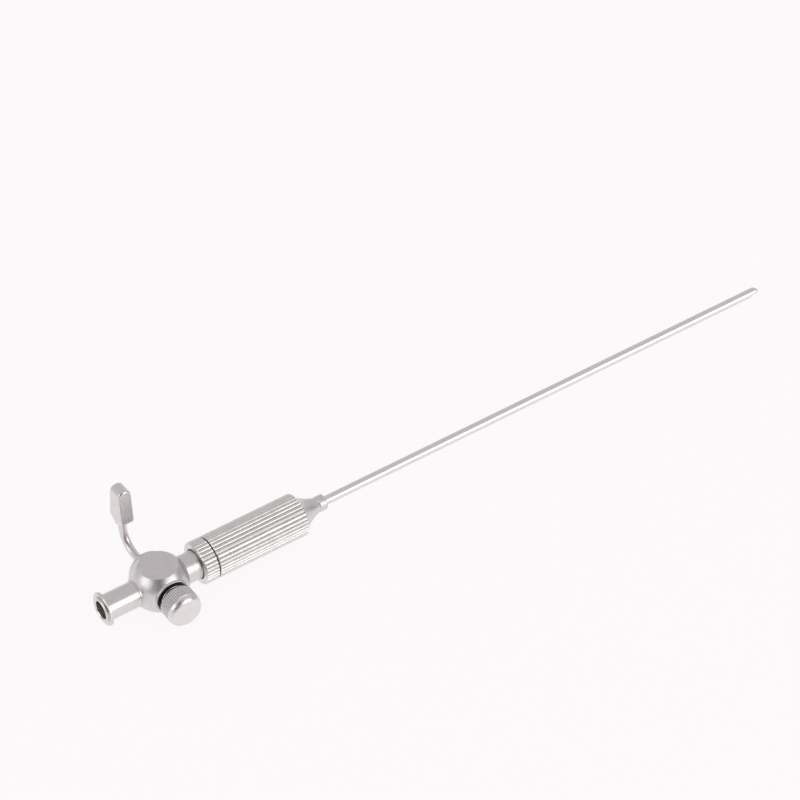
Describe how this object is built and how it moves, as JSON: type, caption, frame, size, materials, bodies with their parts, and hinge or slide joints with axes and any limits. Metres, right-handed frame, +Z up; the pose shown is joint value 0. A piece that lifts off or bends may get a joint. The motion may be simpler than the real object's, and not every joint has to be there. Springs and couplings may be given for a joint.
{
  "type": "veress needle",
  "caption": "Stainless steel insufflation needle with a sprung blunt stylet, a fluted grip, a lever stopcock in a ball-shaped body and a lock-fitting gas inlet.",
  "frame": {"origin": "centre of the gas inlet's mouth face", "axes": "+X along the needle to its tip, +Y along the stopcock's plug to the lever, +Z up from the ball's lower flat, on which the needle lies"},
  "size_m": [0.1787, 0.0289, 0.0225],
  "materials": {
    "satin_steel": "fine satin stainless steel",
    "tube_steel": "drawn and ground stainless steel tube",
    "inner_steel": "turned stainless steel",
    "spring_steel": "bright spring wire",
    "slip_polymer": "black carbon-filled bearing polymer",
    "seal_rubber": "black elastomer"
  },
  "bodies": {
    "handle": {"cannula": "tube_steel", "front_hub": "satin_steel", "guide_bush": "slip_polymer", "grip_sleeve": "satin_steel", "joint_seal": "seal_rubber", "lock_ring": "satin_steel", "stem_seal": "seal_rubber", "gland_washer": "inner_steel", "main_spring": "spring_steel"},
    "spring_carriage": {"thrust_washer": "slip_polymer"},
    "stylet": {"luer_inlet": "satin_steel", "stopcock_body": "satin_steel", "neck_stem": "satin_steel", "spring_collar": "inner_steel", "collar_screw": "inner_steel", "stylet_tube": "tube_steel", "stylet_tip": "tube_steel"},
    "stopcock_plug": {"plug": "satin_steel", "plug_washer": "slip_polymer", "plug_spring": "spring_steel", "cap_nut": "satin_steel", "lever_rod": "satin_steel", "lever_paddle": "satin_steel"}
  },
  "joints": [
    {"name": "stylet_slide", "type": "slide", "parent": "handle", "child": "spring_carriage", "axis": [-1, 0, 0], "range_m": [0, 0.0045], "stiffness_N_per_m": 300, "springref_m": -0.0035, "deforming": ["main_spring"]},
    {"name": "stylet_swivel", "type": "hinge", "parent": "spring_carriage", "child": "stylet", "pos_m": [0.0448, 0, 0], "axis": [1, 0, 0], "continuous": true},
    {"name": "stopcock_turn", "type": "hinge", "parent": "stylet", "child": "stopcock_plug", "pos_m": [0.0149, 0, 0], "axis": [0, 1, 0], "continuous": true}
  ]
}
